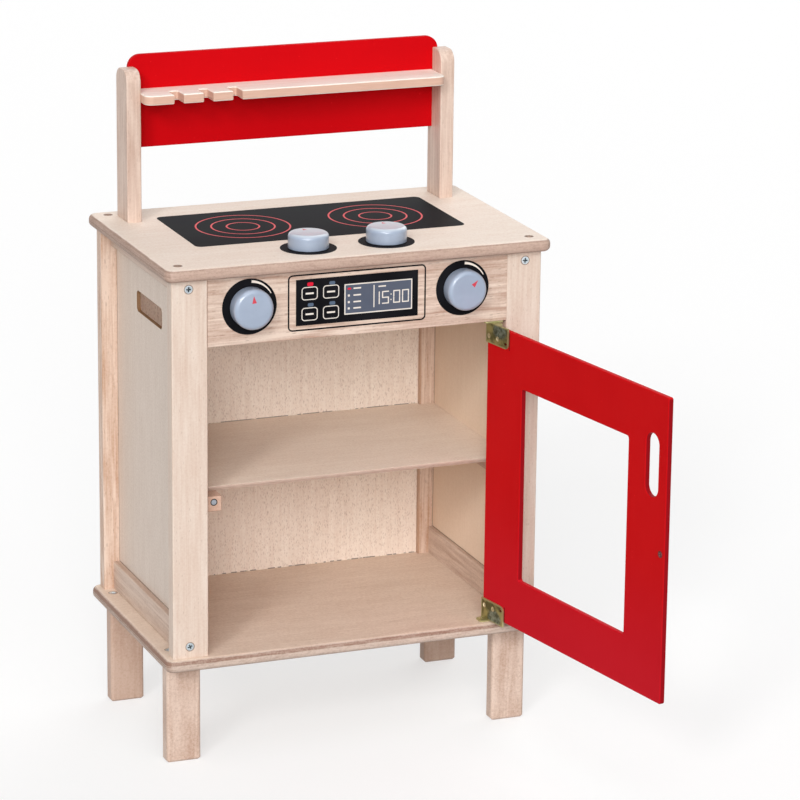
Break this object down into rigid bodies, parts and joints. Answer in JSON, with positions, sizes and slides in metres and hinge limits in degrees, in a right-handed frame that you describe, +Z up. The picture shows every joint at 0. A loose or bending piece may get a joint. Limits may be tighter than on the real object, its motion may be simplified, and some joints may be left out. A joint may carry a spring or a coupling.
{
  "type": "toy stove",
  "caption": "Wooden play stove with a hinged window door, inside shelf, turning knobs, printed hob and control panel, splash board and notched utensil rail.",
  "frame": {"origin": "on the floor under the middle of the cabinet's four posts", "axes": "+X to the right seen from the front, +Y to the rear, +Z up; the door and front knobs are on the -Y side"},
  "size_m": [0.418, 0.5609, 0.7036],
  "materials": {
    "base_board": "clear lacquered plywood, satin",
    "worktop_board": "clear lacquered plywood, satin",
    "post_wood": "clear lacquered solid wood, satin",
    "leg_wood": "clear lacquered solid wood, satin",
    "side_rail_wood": "clear lacquered solid wood, satin",
    "side_panel_wood": "thin plywood, matt lacquer",
    "back_panel_wood": "thin plywood, matt lacquer",
    "front_rail_wood": "clear lacquered solid wood, satin",
    "shelf_wood": "thin plywood, matt lacquer",
    "cleat_wood": "clear lacquered solid wood, satin",
    "upright_wood": "clear lacquered solid wood, satin",
    "utensil_rail_wood": "clear lacquered solid wood, satin",
    "dowel_wood": "bare turned wood",
    "door_paint": "red painted fibreboard, satin",
    "splash_paint": "red painted fibreboard, satin",
    "hob_print": "black printed film, semi-gloss",
    "dial_print": "black printed film, semi-gloss",
    "control_print": "black printed film, semi-gloss",
    "knob_paint": "light blue grey paint, satin",
    "hinge_zinc": "yellow zinc plated sheet steel",
    "hinge_screw_steel": "yellow zinc plated steel",
    "screw_steel": "bright zinc plated steel",
    "magnet_steel": "nickel plated magnet",
    "strike_steel": "dull steel screw head"
  },
  "bodies": {
    "cabinet": {"base_plate": "base_board", "worktop": "worktop_board", "post_front_left": "post_wood", "post_front_right": "post_wood", "post_rear_left": "post_wood", "post_rear_right": "post_wood", "leg_front_left": "leg_wood", "leg_front_right": "leg_wood", "leg_rear_left": "leg_wood", "leg_rear_right": "leg_wood", "lower_rail_left": "side_rail_wood", "lower_rail_right": "side_rail_wood", "upper_rail_left": "side_rail_wood", "upper_rail_right": "side_rail_wood", "side_panel_left": "side_panel_wood", "side_panel_right": "side_panel_wood", "back_panel": "back_panel_wood", "front_rail": "front_rail_wood", "shelf": "shelf_wood", "shelf_cleat_left": "cleat_wood", "shelf_cleat_right": "cleat_wood", "catch_block": "cleat_wood", "catch_magnet": "magnet_steel", "hinge_plate_lower": "hinge_zinc", "hinge_plate_upper": "hinge_zinc", "hinge_plate_screws": "hinge_screw_steel", "hob_print": "hob_print", "dial_prints": "dial_print", "control_print": "control_print", "upright_left": "upright_wood", "upright_right": "upright_wood", "splash_board": "splash_paint", "utensil_rail": "utensil_rail_wood", "side_screws": "screw_steel", "worktop_screws": "screw_steel", "base_screws": "screw_steel", "leg_screws": "screw_steel", "dowels": "dowel_wood"},
    "door": {"door_panel": "door_paint", "door_strike": "strike_steel", "hinge_leaf_lower": "hinge_zinc", "hinge_leaf_upper": "hinge_zinc", "hinge_leaf_screws": "hinge_screw_steel"},
    "front_knob_left": {"front_knob_left": "knob_paint", "front_spindle_left": "dowel_wood", "front_retainer_left": "screw_steel"},
    "front_knob_right": {"front_knob_right": "knob_paint", "front_spindle_right": "dowel_wood", "front_retainer_right": "screw_steel"},
    "top_knob_left": {"top_knob_left": "knob_paint", "top_spindle_left": "dowel_wood", "top_retainer_left": "screw_steel"},
    "top_knob_right": {"top_knob_right": "knob_paint", "top_spindle_right": "dowel_wood", "top_retainer_right": "screw_steel"}
  },
  "joints": [
    {"name": "door_hinge", "type": "hinge", "parent": "cabinet", "child": "door", "pos_m": [0.1511, -0.122, 0.2], "axis": [0, 0, 1], "range_deg": [-100.3, 39.7]},
    {"name": "front_knob_left_turn", "type": "hinge", "parent": "cabinet", "child": "front_knob_left", "pos_m": [-0.118, -0.125, 0.4865], "axis": [0, -1, 0], "continuous": true},
    {"name": "front_knob_right_turn", "type": "hinge", "parent": "cabinet", "child": "front_knob_right", "pos_m": [0.1125, -0.125, 0.4865], "axis": [0, -1, 0], "continuous": true},
    {"name": "top_knob_left_turn", "type": "hinge", "parent": "cabinet", "child": "top_knob_left", "pos_m": [-0.0415, -0.0876, 0.532], "axis": [0, 0, 1], "continuous": true},
    {"name": "top_knob_right_turn", "type": "hinge", "parent": "cabinet", "child": "top_knob_right", "pos_m": [0.0433, -0.0876, 0.532], "axis": [0, 0, 1], "continuous": true}
  ]
}
